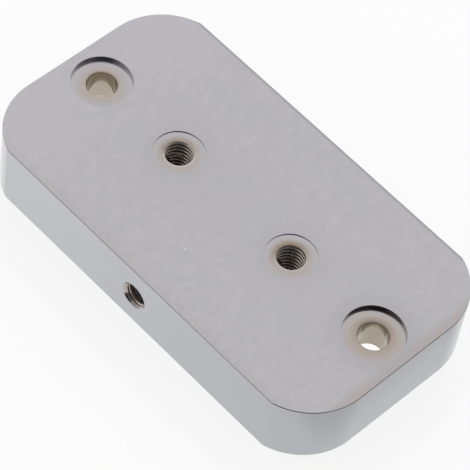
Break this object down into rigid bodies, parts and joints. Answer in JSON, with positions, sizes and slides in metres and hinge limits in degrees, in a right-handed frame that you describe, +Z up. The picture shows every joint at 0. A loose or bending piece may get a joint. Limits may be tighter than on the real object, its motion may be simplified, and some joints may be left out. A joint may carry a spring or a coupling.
{
  "type": "machined mounting block",
  "caption": "Plated rectangular mounting block with rounded corners, counterbored screw holes near its ends, tapped holes in its top face and a tapped hole in one long side.",
  "frame": {"origin": "centre of the underside", "axes": "+X along the length of the block, +Y towards the long side with no hole, +Z up through the tapped top face"},
  "size_m": [0.0698, 0.0382, 0.0113],
  "materials": {
    "plated_metal": "decorative chrome over nickel on machined metal, satin on the top face, brighter on the sides, warm nickel tone in the recesses"
  },
  "bodies": {
    "root": {"mounting_block": "plated_metal"}
  },
  "joints": []
}
